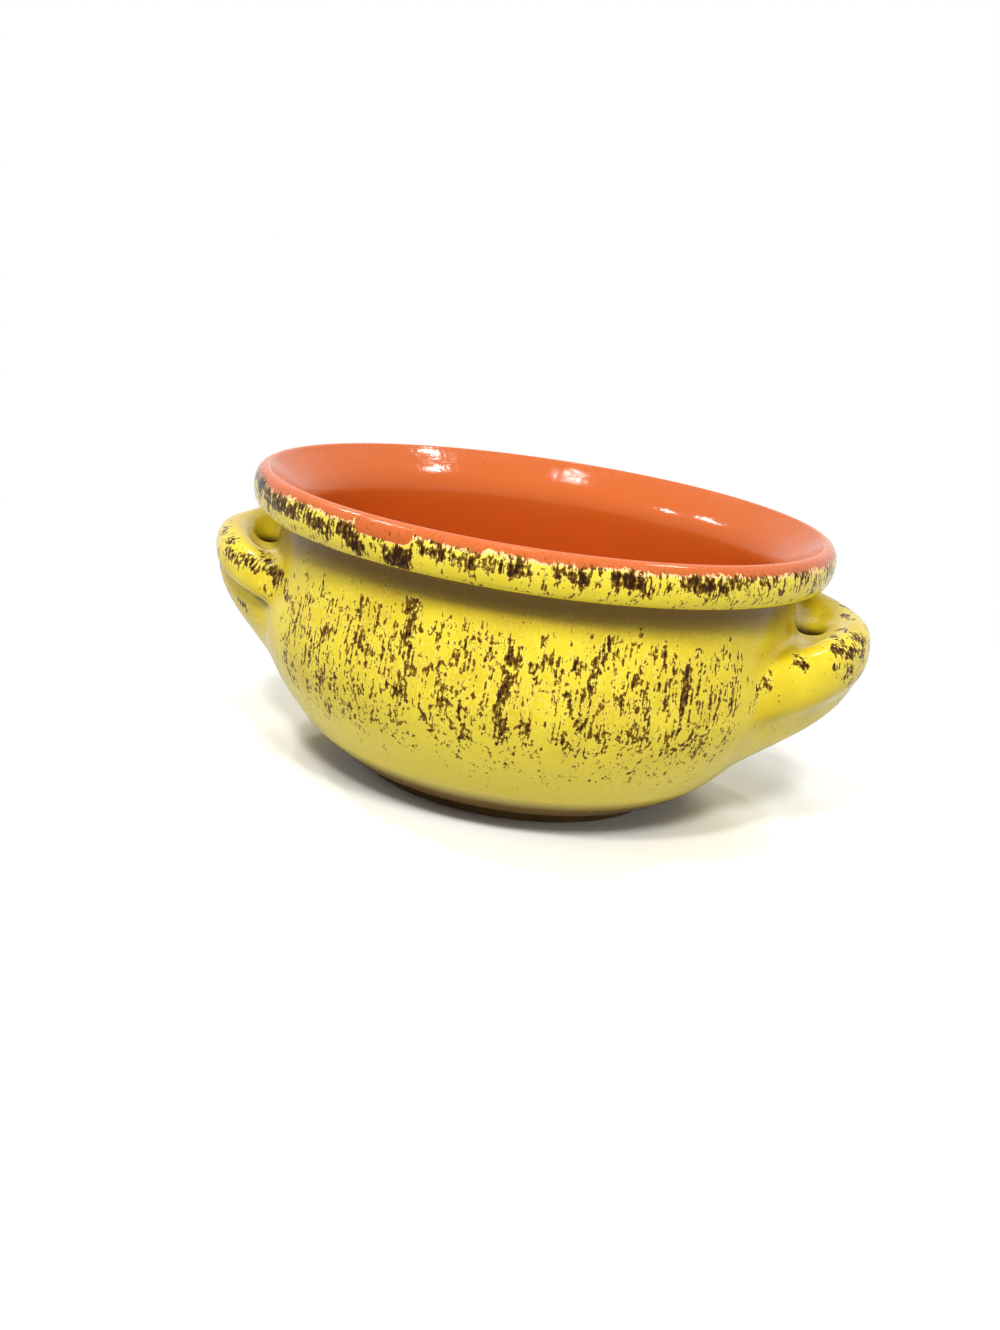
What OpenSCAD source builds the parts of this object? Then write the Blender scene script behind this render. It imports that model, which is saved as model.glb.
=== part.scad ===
// Soup crock: a small round terracotta bowl with a rolled rim and two ear handles, glazed.
// Millimetres, Z up, origin in the middle of the foot, where the crock stands on the table.
// The sizes are measured over the glaze; the clay lies one glaze thickness inside them.

/* [Bowl] */
// Diameter over the rolled rim
rim_d = 150; // [146:1:156]
// Height from the table to the top of the lip
bowl_h = 74.5; // [72:0.5:84]
// How far the belly lies inside the rim
belly_in = 5.5; // [4:0.5:8]
// Height at which the belly is widest
belly_z = 37; // [32:0.5:42]
// How far the neck lies inside the rim
neck_in = 8; // [6.5:0.5:10]
// How far the heel, where the wall turns under, lies inside the rim
heel_in = 19; // [16:0.5:22]
// Height of the heel
heel_z = 12; // [10:0.5:14]
// Thickness of the wall
wall_t = 5; // [4:0.1:6]
// Thickness of the floor
floor_t = 6; // [4:0.1:8]

/* [Foot] */
// How far the edge of the bare foot lies inside the rim
foot_in = 35.5; // [32:0.5:39]
// Height of the bare foot
foot_h = 2.5; // [1.5:0.1:4]
// Width of the ring that touches the table
foot_ring_w = 8; // [5:0.5:15]
// Depth of the hollow inside the foot ring
foot_hollow = 1; // [0.5:0.1:1.8]
// Rounding of the foot's outer edge
foot_edge_r = 0.8; // [0.3:0.1:1.4]

/* [Rim] */
// Height of the rolled rim's outer face
rim_h = 10.3; // [9:0.1:12]
// How far the roll bulges beyond its top
rim_bulge = 3; // [2:0.1:4]
// Height of the roll above its widest line
rim_shoulder_h = 4.5; // [3.5:0.1:5.5]
// Thickness of the lip's inner rounding
lip_inner_w = 1.6; // [1:0.1:2.5]
// Height of the lip's inner rounding
lip_inner_h = 3; // [2:0.1:4]
// Rounding between the neck and the underside of the roll
neck_fillet_r = 2; // [1:0.1:3]
// How far the orange glaze comes down over the lip
glaze_line_drop = 3; // [1.5:0.1:3.4]

/* [Ears] */
// How far the left ear stands out from the wall at its tip
left_ear_out = 17.3; // [14:0.1:22]
// How far the right ear stands out from the wall at its tip
right_ear_out = 19.4; // [14:0.1:22]
// Distance from the lip down to the tips
ear_tip_down = 25.1; // [23:0.1:27]
// Height of the bar's crest above the tip
ear_rise = 6.2; // [5:0.1:7]
// Height from the tip down to the underside of the bar
ear_drop = 7.5; // [6:0.1:8]
// Distance from the tip in to the bar's crest
ear_crest_in = 5.2; // [4:0.1:6]
// Angle round the bowl from an ear's middle to the end of each strand
ear_half_angle = 30.5; // [28:0.5:36]
// How far the left ear's front strand sinks towards its end
left_front_sink = 5.5; // [0:0.5:11]
// How far the right ear's front strand sinks towards its end
right_front_sink = 10; // [0:0.5:11]
// How far both back strands climb towards their ends
back_climb = 5; // [0:0.5:6]
// Height where the left ear's keel runs out on the wall
left_keel_root_z = 20.5; // [12:0.5:22]
// Height where the right ear's keel runs out on the wall
right_keel_root_z = 11.5; // [11:0.5:20]
// Depth of the thumb dish below the crest
dish_depth = 5; // [3:0.1:6]
// Diameter of the finger hole
finger_hole_d = 8.4; // [7.5:0.1:9]
// How far the finger hole reaches behind the wall's surface
finger_hole_bite = 1; // [0.8:0.1:1.5]
// Lean of the finger hole, away from the wall towards its lower end
finger_hole_lean = 3; // [2:0.5:5]

/* [Coats] */
// Thickness of the glaze
glaze_t = 0.4; // [0.25:0.05:0.6]
// Thickness of the slip that fixes each ear to the wall
slip_t = 0.6; // [0.4:0.05:1]

/* [Hidden] */
clay = "#b5643c";
slip = "#9c5433";
orange_glaze = "#dd7440";
yellow_glaze = "#e0cb4e";
round_steps = 5;
curve_steps = 8;
ear_steps = 24;
keel_steps = 12;
dish_steps = 5;
// Steps of the wall above the heel that the inside leaves out, to round its own heel
heel_steps = 3;
// How far cuts run past what they cut
overrun = 5;
// How deep the ear's edges sink into the wall that cuts them off
root_sink = 1.2;
// How deep the ear's hidden core reaches behind the wall
core_depth = 14;
// How far the keel's top lies behind the tip
keel_tip_in = 0.6;
// Rounding between the bar and the keel, at the tip and added where the groove is deepest
tip_blend = 1;
groove_blend = 12;

// Shares that bend the bowl's outline between its named sizes
under_bend_shares = [0.4, 0.05];
heel_start_shares = [0.43, 0.27];
belly_start_share = 0.62;
neck_bend_share = 0.35;
flare_start_shares = [0.12, 0.35];
inner_heel_share = 0.6;
floor_reach_share = 0.64;
floor_bend_share = 0.5;

// Shares that shape an ear
bar_fade_share = 0.77;
bar_square_share = 0.8;
bar_turn_share = 0.85;
keel_fade_share = 1.8;
keel_bend_shares = [0.5, 0.35];
keel_rise_share = 0.56;
dish_run_share = 0.6;

rim_r = rim_d / 2;
belly_r = rim_r - belly_in;
neck_r = rim_r - neck_in;
heel_r = rim_r - heel_in;
foot_r = rim_r - foot_in;
roll_top_r = rim_r - rim_bulge;
roll_mid_z = bowl_h - rim_shoulder_h;
roll_low_z = bowl_h - rim_h;
floor_z = foot_hollow + floor_t;

function arc(centre, radii, from, to) = [for (i = [0:round_steps])
    let (a = from + (to - from) * i / round_steps)
    centre + [radii[0] * cos(a), radii[1] * sin(a)]];
function bezier_at(p, t) = pow(1 - t, 3) * p[0] + 3 * t * pow(1 - t, 2) * p[1]
    + 3 * t * t * (1 - t) * p[2] + pow(t, 3) * p[3];
function bezier(p, steps = curve_steps) = [for (i = [0:steps]) bezier_at(p, i / steps)];
function slice(p, from, to) = [for (i = [from:to]) p[i]];
function after_first(p) = slice(p, 1, len(p) - 1);
function backwards(p) = [for (i = [len(p) - 1:-1:0]) p[i]];
function joined(runs) = concat([runs[0][0]], [for (run = runs) each after_first(run)]);
// Each point moved to the left of the way the outline runs, which is into the clay
function moved_in(p, t) = [for (i = [0:len(p) - 1])
    let (way = p[min(i + 1, len(p) - 1)] - p[max(i - 1, 0)])
    p[i] + t * [-way[1], way[0]] / norm(way)];

// The bowl's outline over the glaze, as points [radius, height], up the outside
foot_top = [foot_r, foot_h];
heel = [heel_r, heel_z];
belly = [belly_r, belly_z];
neck = [neck_r, roll_low_z - neck_fillet_r];
roll_mid = [roll_top_r, roll_mid_z];
under_bend = [foot_r + under_bend_shares[0] * (heel_r - foot_r),
    foot_h + under_bend_shares[1] * (heel_z - foot_h)];
under_run = bezier([foot_top, (foot_top + 2 * under_bend) / 3, (heel + 2 * under_bend) / 3, heel]);
wall_run = bezier([heel,
    heel + [heel_start_shares[0] * (belly_r - heel_r), heel_start_shares[1] * (belly_z - heel_z)],
    [belly_r, heel_z + belly_start_share * (belly_z - heel_z)], belly]);
neck_run = bezier([belly, belly + [0, neck_bend_share * (neck[1] - belly_z)],
    neck - [0, neck_bend_share * (neck[1] - belly_z)], neck]);
fillet_run = arc(neck + [neck_fillet_r, 0], [neck_fillet_r, neck_fillet_r], 180, 90);
roll_low_run = arc(roll_mid, [rim_bulge, roll_mid_z - roll_low_z], -90, 0);
glaze_line_angle = asin(1 - glaze_line_drop / rim_shoulder_h);
roll_side_run = arc(roll_mid, [rim_bulge, rim_shoulder_h], 0, glaze_line_angle);
outer_run = concat(joined([under_run, wall_run, neck_run, fillet_run]),
    joined([roll_low_run, roll_side_run]));

// The outline over the glaze from the glaze line, over the lip and down the inside
roll_top_run = arc(roll_mid, [rim_bulge, rim_shoulder_h], glaze_line_angle, 90);
lip_end = [roll_top_r - lip_inner_w, bowl_h - lip_inner_h];
lip_run = arc([roll_top_r, lip_end[1]], [lip_inner_w, lip_inner_h], 90, 180);
inner_neck = [neck_r - wall_t, neck[1]];
flare = lip_end - inner_neck;
flare_run = bezier([lip_end,
    lip_end - [flare_start_shares[0] * flare[0], flare_start_shares[1] * flare[1]],
    inner_neck + [0, (1 - flare_start_shares[1]) * flare[1]], inner_neck]);
inner_side = backwards(moved_in(joined([slice(wall_run, heel_steps, curve_steps), neck_run]), wall_t));
side_end = inner_side[len(inner_side) - 1];
side_way = side_end - inner_side[len(inner_side) - 2];
floor_edge = [floor_reach_share * heel_r, floor_z];
heel_drop = inner_heel_share * (side_end[1] - floor_z);
inner_heel_run = bezier([side_end, side_end + heel_drop * side_way / norm(side_way),
    floor_edge + [floor_bend_share * (side_end[0] - floor_edge[0]), 0], floor_edge]);
inner_run = joined([roll_top_run, lip_run, flare_run, inner_side, inner_heel_run,
    [floor_edge, [0, floor_z]]]);

glazed_run = joined([outer_run, inner_run]);
clay_run = moved_in(glazed_run, glaze_t);
glaze_line = len(outer_run) - 1;

// Radius over the glaze of the bowl's wall at a height
wall_table = [for (p = joined([under_run, wall_run, neck_run])) [p[1], p[0]]];
function wall_r_at(z) = lookup(z, wall_table);

// The whole space inside the outer surface of the bowl, which cuts the ears to fit
module bowl_blank(run) {
    outside = slice(run, 0, glaze_line);
    rotate_extrude() polygon(concat([[0, -overrun], [foot_r, -overrun]], outside, [[0, bowl_h]]));
}

module bowl_body() {
    foot_in_r = foot_r - foot_ring_w;
    foot_edge = arc([foot_r - foot_edge_r, foot_edge_r], [foot_edge_r, foot_edge_r], -90, 0);
    color(clay) rotate_extrude() polygon(concat([[0, foot_hollow], [foot_in_r, foot_hollow],
        [foot_in_r, 0]], foot_edge, [foot_top], clay_run));
}

module glaze_coat(from, to) {
    rotate_extrude() polygon(concat(slice(glazed_run, from, to), backwards(slice(clay_run, from, to))));
}

// The ears' tips, and the wall behind them
ear_tip_z = bowl_h - ear_tip_down;
tip_wall_r = wall_r_at(ear_tip_z);

// An ear is a loop of bar that lies along the wall, on a keel that tapers down to the wall.
// It is built on the right from upright outlines [radius, height], one at each angle round the
// bowl, with the front strand at the angles below zero. Its own sizes are a list, in this order:
// reach, height of the keel's root, sink of the front strand, sink of the back strand.
left_ear = [tip_wall_r + left_ear_out, left_keel_root_z, left_front_sink, -back_climb];
right_ear = [tip_wall_r + right_ear_out, right_keel_root_z, right_front_sink, -back_climb];
ear_angles = [for (i = [0:ear_steps]) ear_half_angle * (2 * i / ear_steps - 1)];

function soft_max(a, b, blend) = max(a, b) + pow(max(blend - abs(a - b), 0), 2) / (4 * blend);
function fade(angle) = cos(90 * angle / ear_half_angle);
// How far the bar's round outer side lies behind its outermost line, at a share of its height
function bar_back(share) = share < bar_turn_share ? 1 - sqrt(1 - share * share)
    : 1 - sqrt(1 - bar_turn_share * bar_turn_share)
        + (share - bar_turn_share) * bar_turn_share / sqrt(1 - bar_turn_share * bar_turn_share);

// The keel's line in the ear's middle, as [height, distance out from the wall]
function keel_table(ear) =
    let (root = [wall_r_at(ear[1]) - root_sink, ear[1]], tip = [ear[0] - keel_tip_in, ear_tip_z],
        rise = tip - root,
        bend = root + [keel_bend_shares[0] * rise[0], keel_bend_shares[1] * rise[1]],
        run = bezier([root, bend, [tip[0], root[1] + keel_rise_share * rise[1]], tip], keel_steps))
    [for (p = run) [p[1], p[0] - wall_r_at(p[1])]];

// The ear's outline at an angle: up the keel and the bar, over the crest and down the dish
function ear_outline(ear, keel, angle) =
    let (mid_z = ear_tip_z - (angle < 0 ? ear[2] : ear[3]) * pow(angle / ear_half_angle, 2),
        bar_out = (ear[0] - tip_wall_r + root_sink) * pow(fade(angle), bar_fade_share),
        blend = tip_blend + groove_blend * fade(angle) * (1 - fade(angle)),
        outer_side = [for (i = [0:keel_steps])
            let (z = ear[1] + (mid_z - ear[1]) * i / keel_steps,
                bar = bar_out - ear_crest_in * bar_back(max(mid_z - z, 0) / ear_drop),
                keel_out = (lookup(z, keel) + root_sink) * pow(fade(angle), keel_fade_share))
            [wall_r_at(z) + soft_max(bar, keel_out, blend) - root_sink, z]],
        crest_r = outer_side[keel_steps][0] - ear_crest_in,
        upper_side = [for (i = [1:round_steps]) let (a = 90 * i / round_steps)
            [crest_r + ear_crest_in * pow(cos(a), bar_square_share),
            mid_z + ear_rise * pow(sin(a), bar_square_share)]],
        dish_end_r = min(wall_r_at(mid_z), crest_r) - root_sink,
        depth = dish_depth * pow(fade(angle), 2),
        dish_side = [for (i = [1:dish_steps]) let (run = i / dish_steps)
            [crest_r + run * (dish_end_r - crest_r),
            mid_z + ear_rise - depth * (1 - cos(180 * min(run / dish_run_share, 1))) / 2]],
        core_r = wall_r_at(ear[1]) - core_depth)
    concat([[core_r, ear[1]]], outer_side, upper_side, dish_side,
        [[core_r, dish_side[dish_steps - 1][1]]]);
function ear_outlines(ear) = let (keel = keel_table(ear))
    [for (angle = ear_angles) ear_outline(ear, keel, angle)];

// The faces that close the end of a row of outlines: one for a solid, a strip of them for a coat
function solid_end(outline) = [[for (j = [0:len(outline) - 1]) j]];
function coat_end(outline) = let (n = len(outline))
    [for (j = [0:n / 2 - 2]) each [[j, j + 1, n - 2 - j], [j, n - 2 - j, n - 1 - j]]];

// Closed outlines, one at each of the ear's angles, joined into a solid pierced by the finger hole.
// The second half of an outline is split along the other diagonal, as a coat's inner skin runs
// backwards under its outer one and has to bend along the same lines.
module pierced_loft(outlines, end_faces) {
    n = len(outlines[0]);
    points = [for (i = [0:ear_steps], p = outlines[i])
        [p[0] * cos(ear_angles[i]), p[0] * sin(ear_angles[i]), p[1]]];
    sides = [for (i = [0:ear_steps - 1], j = [0:n - 1])
        let (a = i * n + j, b = i * n + (j + 1) % n)
        each j < n / 2 ? [[a, b, b + n], [a, b + n, a + n]] : [[a, b, a + n], [b, b + n, a + n]]];
    first_end = [for (face = end_faces) backwards(face)];
    last_end = [for (face = end_faces) [for (j = face) ear_steps * n + j]];
    difference() {
        polyhedron(points, concat(sides, first_end, last_end));
        translate([tip_wall_r + finger_hole_d / 2 - finger_hole_bite, 0, ear_tip_z])
            rotate([0, -finger_hole_lean, 0])
            cylinder(d = finger_hole_d, h = 2 * ear_tip_z, center = true, $fn = 48);
    }
}

module clay_ear(ear) {
    outlines = [for (outline = ear_outlines(ear)) moved_in(outline, glaze_t)];
    pierced_loft(outlines, solid_end(outlines[0]));
}

module ear_coat(ear) {
    outlines = [for (outline = ear_outlines(ear))
        let (skin = slice(outline, 1, len(outline) - 2)) concat(skin, backwards(moved_in(skin, glaze_t)))];
    pierced_loft(outlines, coat_end(outlines[0]));
}

module handle(ear) {
    color(clay) difference() {
        clay_ear(ear);
        bowl_blank(moved_in(clay_run, -slip_t));
    }
}

module handle_slip(ear) {
    color(slip) difference() {
        intersection() {
            clay_ear(ear);
            bowl_blank(moved_in(clay_run, -slip_t));
        }
        bowl_blank(clay_run);
    }
}

module handle_glaze(ear) {
    color(yellow_glaze) difference() {
        ear_coat(ear);
        bowl_blank(glazed_run);
    }
}

module on_left() {
    mirror([1, 0, 0]) children();
}

module right_handle() { handle(right_ear); }
module left_handle() { on_left() handle(left_ear); }
module right_handle_slip() { handle_slip(right_ear); }
module left_handle_slip() { on_left() handle_slip(left_ear); }
module right_handle_glaze() { handle_glaze(right_ear); }
module left_handle_glaze() { on_left() handle_glaze(left_ear); }

module inner_glaze() { color(orange_glaze) glaze_coat(glaze_line, len(glazed_run) - 1); }

module outer_glaze() {
    color(yellow_glaze) difference() {
        glaze_coat(0, glaze_line);
        clay_ear(right_ear);
        on_left() clay_ear(left_ear);
    }
}

bowl_body();
left_handle();
right_handle();
left_handle_slip();
right_handle_slip();
inner_glaze();
outer_glaze();
left_handle_glaze();
right_handle_glaze();
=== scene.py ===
"""Looks of a glazed earthenware soup crock with two pinched ears.

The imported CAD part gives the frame, the sizes and the bodies. This script lays the fired surface
over it: a bare clay body, an orange glaze inside, and one soft yellow skin outside that runs over
the bowl and both ears, brushed with brown.
"""

import logging
import math
from dataclasses import dataclass, field
from enum import Enum
from typing import Any, Mapping, Sequence

import bmesh  # noqa: E402
import bpy  # noqa: E402
import numpy as np  # noqa: E402
from mathutils import Matrix, Vector  # noqa: E402
from mathutils.bvhtree import BVHTree  # noqa: E402
from mathutils.kdtree import KDTree  # noqa: E402

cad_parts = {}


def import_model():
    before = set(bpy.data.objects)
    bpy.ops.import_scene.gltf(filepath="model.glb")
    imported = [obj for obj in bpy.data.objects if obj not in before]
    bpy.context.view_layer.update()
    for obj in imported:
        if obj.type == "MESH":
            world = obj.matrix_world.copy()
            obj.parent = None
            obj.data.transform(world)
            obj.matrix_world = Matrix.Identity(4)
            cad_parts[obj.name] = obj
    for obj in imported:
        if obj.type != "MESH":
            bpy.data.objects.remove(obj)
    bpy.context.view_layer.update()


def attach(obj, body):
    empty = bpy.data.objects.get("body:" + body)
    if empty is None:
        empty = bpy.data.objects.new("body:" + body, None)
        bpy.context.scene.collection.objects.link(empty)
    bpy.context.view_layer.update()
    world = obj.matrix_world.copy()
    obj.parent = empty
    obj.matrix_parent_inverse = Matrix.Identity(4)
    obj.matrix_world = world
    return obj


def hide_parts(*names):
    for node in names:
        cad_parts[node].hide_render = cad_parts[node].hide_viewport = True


LOG = logging.getLogger("soup_crock")
MM = 0.001
TINY = 1e-6
BODY = "root"
COLOURS: dict[str, Any] = {"data_type": "RGBA", "out": 2}
Point = tuple[float, float]
Place = tuple[float, float, float]
Socket = bpy.types.NodeSocket


# Small helpers for outlines and meshes. Outlines are in millimetres, as [radius, height].


def linear(hex_colour: str) -> tuple[float, float, float, float]:
    """Turn an sRGB hex colour into the linear colour that a shader takes.

    Args:
        hex_colour: Six hex digits after a number sign.

    Returns:
        Linear red, green, blue and an alpha of one.
    """
    parts = [int(hex_colour[i : i + 2], 16) / 255 for i in (1, 3, 5)]
    red, green, blue = (c / 12.92 if c <= 0.04045 else ((c + 0.055) / 1.055) ** 2.4 for c in parts)
    return red, green, blue, 1.0


def unit(rows: np.ndarray) -> np.ndarray:
    """Bring each row to a length of one."""
    return rows / np.maximum(np.linalg.norm(rows, axis=-1, keepdims=True), TINY)


def bezier(points: Sequence[Any], steps: int) -> np.ndarray:
    """Points along a cubic curve.

    Args:
        points: Its start, two handles and end.
        steps: How many steps it is cut into.

    Returns:
        One row per point.
    """
    a, b, c, d = (np.asarray(p, float) for p in points)
    t = np.linspace(0, 1, steps + 1)[:, None]
    return (1 - t) ** 3 * a + 3 * t * (1 - t) ** 2 * b + 3 * t * t * (1 - t) * c + t**3 * d


def arc(centre: Any, radii: Point, start: float, end: float, steps: int) -> np.ndarray:
    """Points along part of an ellipse.

    Args:
        centre: Its middle.
        radii: Its half width and half height.
        start: First angle in degrees.
        end: Last angle in degrees.
        steps: How many steps it is cut into.

    Returns:
        One row per point.
    """
    a = np.radians(np.linspace(start, end, steps + 1))
    return np.asarray(centre, float) + np.stack([radii[0] * np.cos(a), radii[1] * np.sin(a)], 1)


def joined(*runs: np.ndarray) -> np.ndarray:
    """Join runs that start where the last one ends, without doubling the shared points."""
    return np.concatenate([runs[0]] + [run[1:] for run in runs[1:]])


def moved_in(run: np.ndarray, distance: float) -> np.ndarray:
    """Move each point of an outline by a distance to the left of the way that the outline runs."""
    way = unit(np.gradient(run, axis=0))
    return run + distance * np.stack([-way[:, 1], way[:, 0]], 1)


def smooth_step(value: np.ndarray, low: float, high: float) -> np.ndarray:
    """Rise softly from 0 at one value to 1 at another.

    Args:
        value: Where to read the step.
        low: Value where it starts to rise.
        high: Value where it is one; it may be the lower of the two.

    Returns:
        The step's height, from 0 to 1.
    """
    t = np.clip((value - low) / (high - low), 0, 1)
    return t * t * (3 - 2 * t)


def placed(name: str, data: Any) -> bpy.types.Object:
    """Make an object of its mesh, lamp or camera data, linked to the scene.

    Args:
        name: The object's name.
        data: What it shows.

    Returns:
        The new object.
    """
    thing = bpy.data.objects.new(name, data)
    bpy.context.scene.collection.objects.link(thing)
    return thing


def mesh_object(name: str, points: np.ndarray, faces: Sequence[Any]) -> bpy.types.Object:
    """Make a mesh object from points in millimetres.

    Args:
        name: Name of the object and its mesh.
        points: One row per vertex.
        faces: Vertex numbers of each face.

    Returns:
        The new object, linked to the scene.
    """
    mesh = bpy.data.meshes.new(name)
    mesh.from_pydata((np.asarray(points) * MM).tolist(), [], [list(map(int, f)) for f in faces])
    mesh.validate()
    mesh.shade_smooth()
    return placed(name, mesh)


def thrown(run: np.ndarray, segments: int) -> tuple[np.ndarray, list[list[int]]]:
    """Turn a closed outline round the bowl's axis, as on a wheel.

    Args:
        run: The outline; where it starts and ends on the axis it closes there.
        segments: Steps round the circle.

    Returns:
        The points and the faces of the turned solid.
    """
    on_axis = run[0][0] < TINY and run[-1][0] < TINY
    ring = run[1:-1] if on_axis else run
    n = len(ring)
    a = np.arange(segments) * 2 * math.pi / segments
    across, up = ring[:, 0], np.tile(ring[:, 1], (segments, 1))
    points = np.stack([np.outer(np.cos(a), across), np.outer(np.sin(a), across), up], 2).reshape(-1, 3)
    pairs = [(i, (i + 1) % segments) for i in range(segments)]
    steps = [(j, (j + 1) % n) for j in range(n - 1 if on_axis else n)]
    faces = [[i * n + j, k * n + j, k * n + m, i * n + m] for i, k in pairs for j, m in steps]
    if on_axis:
        first, last = len(points), len(points) + 1
        points = np.vstack([points, [[0, 0, run[0][1]], [0, 0, run[-1][1]]]])
        for i, k in pairs:
            faces += [[first, k * n, i * n], [last, i * n + n - 1, k * n + n - 1]]
    return points, faces


def evaluated(piece: bpy.types.Object) -> tuple[np.ndarray, list[list[int]]]:
    """Read an object's mesh with its modifiers applied.

    Args:
        piece: The object.

    Returns:
        Its points in millimetres and its faces.
    """
    result = piece.evaluated_get(bpy.context.evaluated_depsgraph_get())
    mesh = result.to_mesh()
    points = np.zeros(len(mesh.vertices) * 3)
    mesh.vertices.foreach_get("co", points)
    faces = [list(p.vertices) for p in mesh.polygons]
    result.to_mesh_clear()
    return points.reshape(-1, 3) / MM, faces


# The bowl's outline and the ears, with the sizes of the CAD part


@dataclass(frozen=True)
class BowlShape:
    """The thrown bowl's outline over its glaze, in millimetres.

    A reach is the share of a run's length, or of its way in and up, at which its curve's handle lies.
    """

    rim_r: float = 75.0
    height: float = 74.5
    belly_r: float = 69.5
    belly_z: float = 37.0
    neck_r: float = 67.0
    heel_r: float = 56.0
    heel_z: float = 12.0
    wall: float = 5.0
    floor_z: float = 7.0
    floor_share: float = 0.64
    foot_r: float = 39.5
    foot_h: float = 2.5
    foot_ring: float = 8.0
    foot_hollow: float = 1.0
    foot_edge: float = 0.8
    rim_h: float = 10.3
    rim_bulge: float = 3.0
    rim_shoulder: float = 4.5
    lip_inner: Point = (1.6, 3.0)
    lip_turn: float = 122.0
    neck_fillet: float = 2.0
    under_reach: Point = (0.4, 0.05)
    heel_reach: Point = (0.43, 0.27)
    belly_reach: float = 0.62
    neck_reach: float = 0.35
    flare_reach: Point = (0.5, 0.42)
    corner_reach: Point = (0.6, 0.5)
    steps: int = 22
    inside_from: int = 30
    round_steps: int = 8
    roll_steps: tuple[int, int] = (14, 16)
    flare_steps: int = 18
    floor_points: int = 14

    @property
    def neck(self) -> np.ndarray:
        """Where the neck ends and the rounding under the roll starts."""
        return np.array([self.neck_r, self.height - self.rim_h - self.neck_fillet])

    @property
    def crest(self) -> np.ndarray:
        """Top of the lip, where the outer skin meets the inner glaze."""
        return np.array([self.rim_r - self.rim_bulge, self.height])

    def wall_run(self) -> np.ndarray:
        """Outline up the outside, from the top of the bare foot to the neck.

        Returns:
            One row per point.
        """
        foot_top = np.array([self.foot_r, self.foot_h])
        heel = np.array([self.heel_r, self.heel_z])
        belly = np.array([self.belly_r, self.belly_z])
        bend = foot_top + np.array(self.under_reach) * (heel - foot_top)
        under = bezier([foot_top, (foot_top + 2 * bend) / 3, (heel + 2 * bend) / 3, heel], self.steps)
        leave = heel + np.array(self.heel_reach) * (belly - heel)
        arrive = [self.belly_r, self.heel_z + self.belly_reach * (self.belly_z - self.heel_z)]
        wall = bezier([heel, leave, arrive, belly], self.steps)
        climb = self.neck_reach * (self.neck[1] - self.belly_z)
        neck = bezier([belly, belly + [0, climb], self.neck - [0, climb], self.neck], self.steps)
        return joined(under, wall, neck)

    def outer_run(self) -> np.ndarray:
        """Outline up the outside, from the top of the bare foot to the crest of the lip.

        Returns:
            One row per point.
        """
        fillet = arc(
            self.neck + [self.neck_fillet, 0], (self.neck_fillet, self.neck_fillet), 180, 90, self.round_steps
        )
        middle = self.crest - [0, self.rim_shoulder]
        low = arc(middle, (self.rim_bulge, self.rim_h - self.rim_shoulder), -90, 0, self.roll_steps[0])
        top = arc(middle, (self.rim_bulge, self.rim_shoulder), 0, 90, self.roll_steps[1])
        return np.concatenate([joined(self.wall_run(), fillet), joined(low, top)])

    def inner_run(self) -> np.ndarray:
        """Outline over the inner glaze, from the crest of the lip down to the middle of the floor.

        Returns:
            One row per point.
        """
        lip = arc(self.crest - [0, self.lip_inner[1]], self.lip_inner, 90, self.lip_turn, self.round_steps)
        neck = np.array([self.neck_r - self.wall, self.neck[1]])
        fall = lip[-1][1] - neck[1]
        leave = lip[-1] + self.flare_reach[0] * fall * unit(lip[-1] - lip[-2])
        flare = bezier([lip[-1], leave, neck + [0, self.flare_reach[1] * fall], neck], self.flare_steps)
        side = moved_in(self.wall_run(), self.wall)[self.inside_from :][::-1]
        edge = np.array([self.floor_share * self.heel_r, self.floor_z])
        leave = side[-1] + self.corner_reach[0] * (side[-1][1] - self.floor_z) * unit(side[-1] - side[-2])
        arrive = edge + [self.corner_reach[1] * (side[-1][0] - edge[0]), 0]
        corner = bezier([side[-1], leave, arrive, edge], self.flare_steps)
        inwards = np.linspace(edge[0], 0, self.floor_points)
        floor = np.stack([inwards, np.full(self.floor_points, self.floor_z)], 1)
        return joined(lip, flare, side, corner, floor)

    def wall_r(self, z: np.ndarray | float) -> Any:
        """Radius of the plain wall over the glaze at a height or at many."""
        run = self.wall_run()
        return np.interp(z, run[:, 1], run[:, 0])


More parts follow.
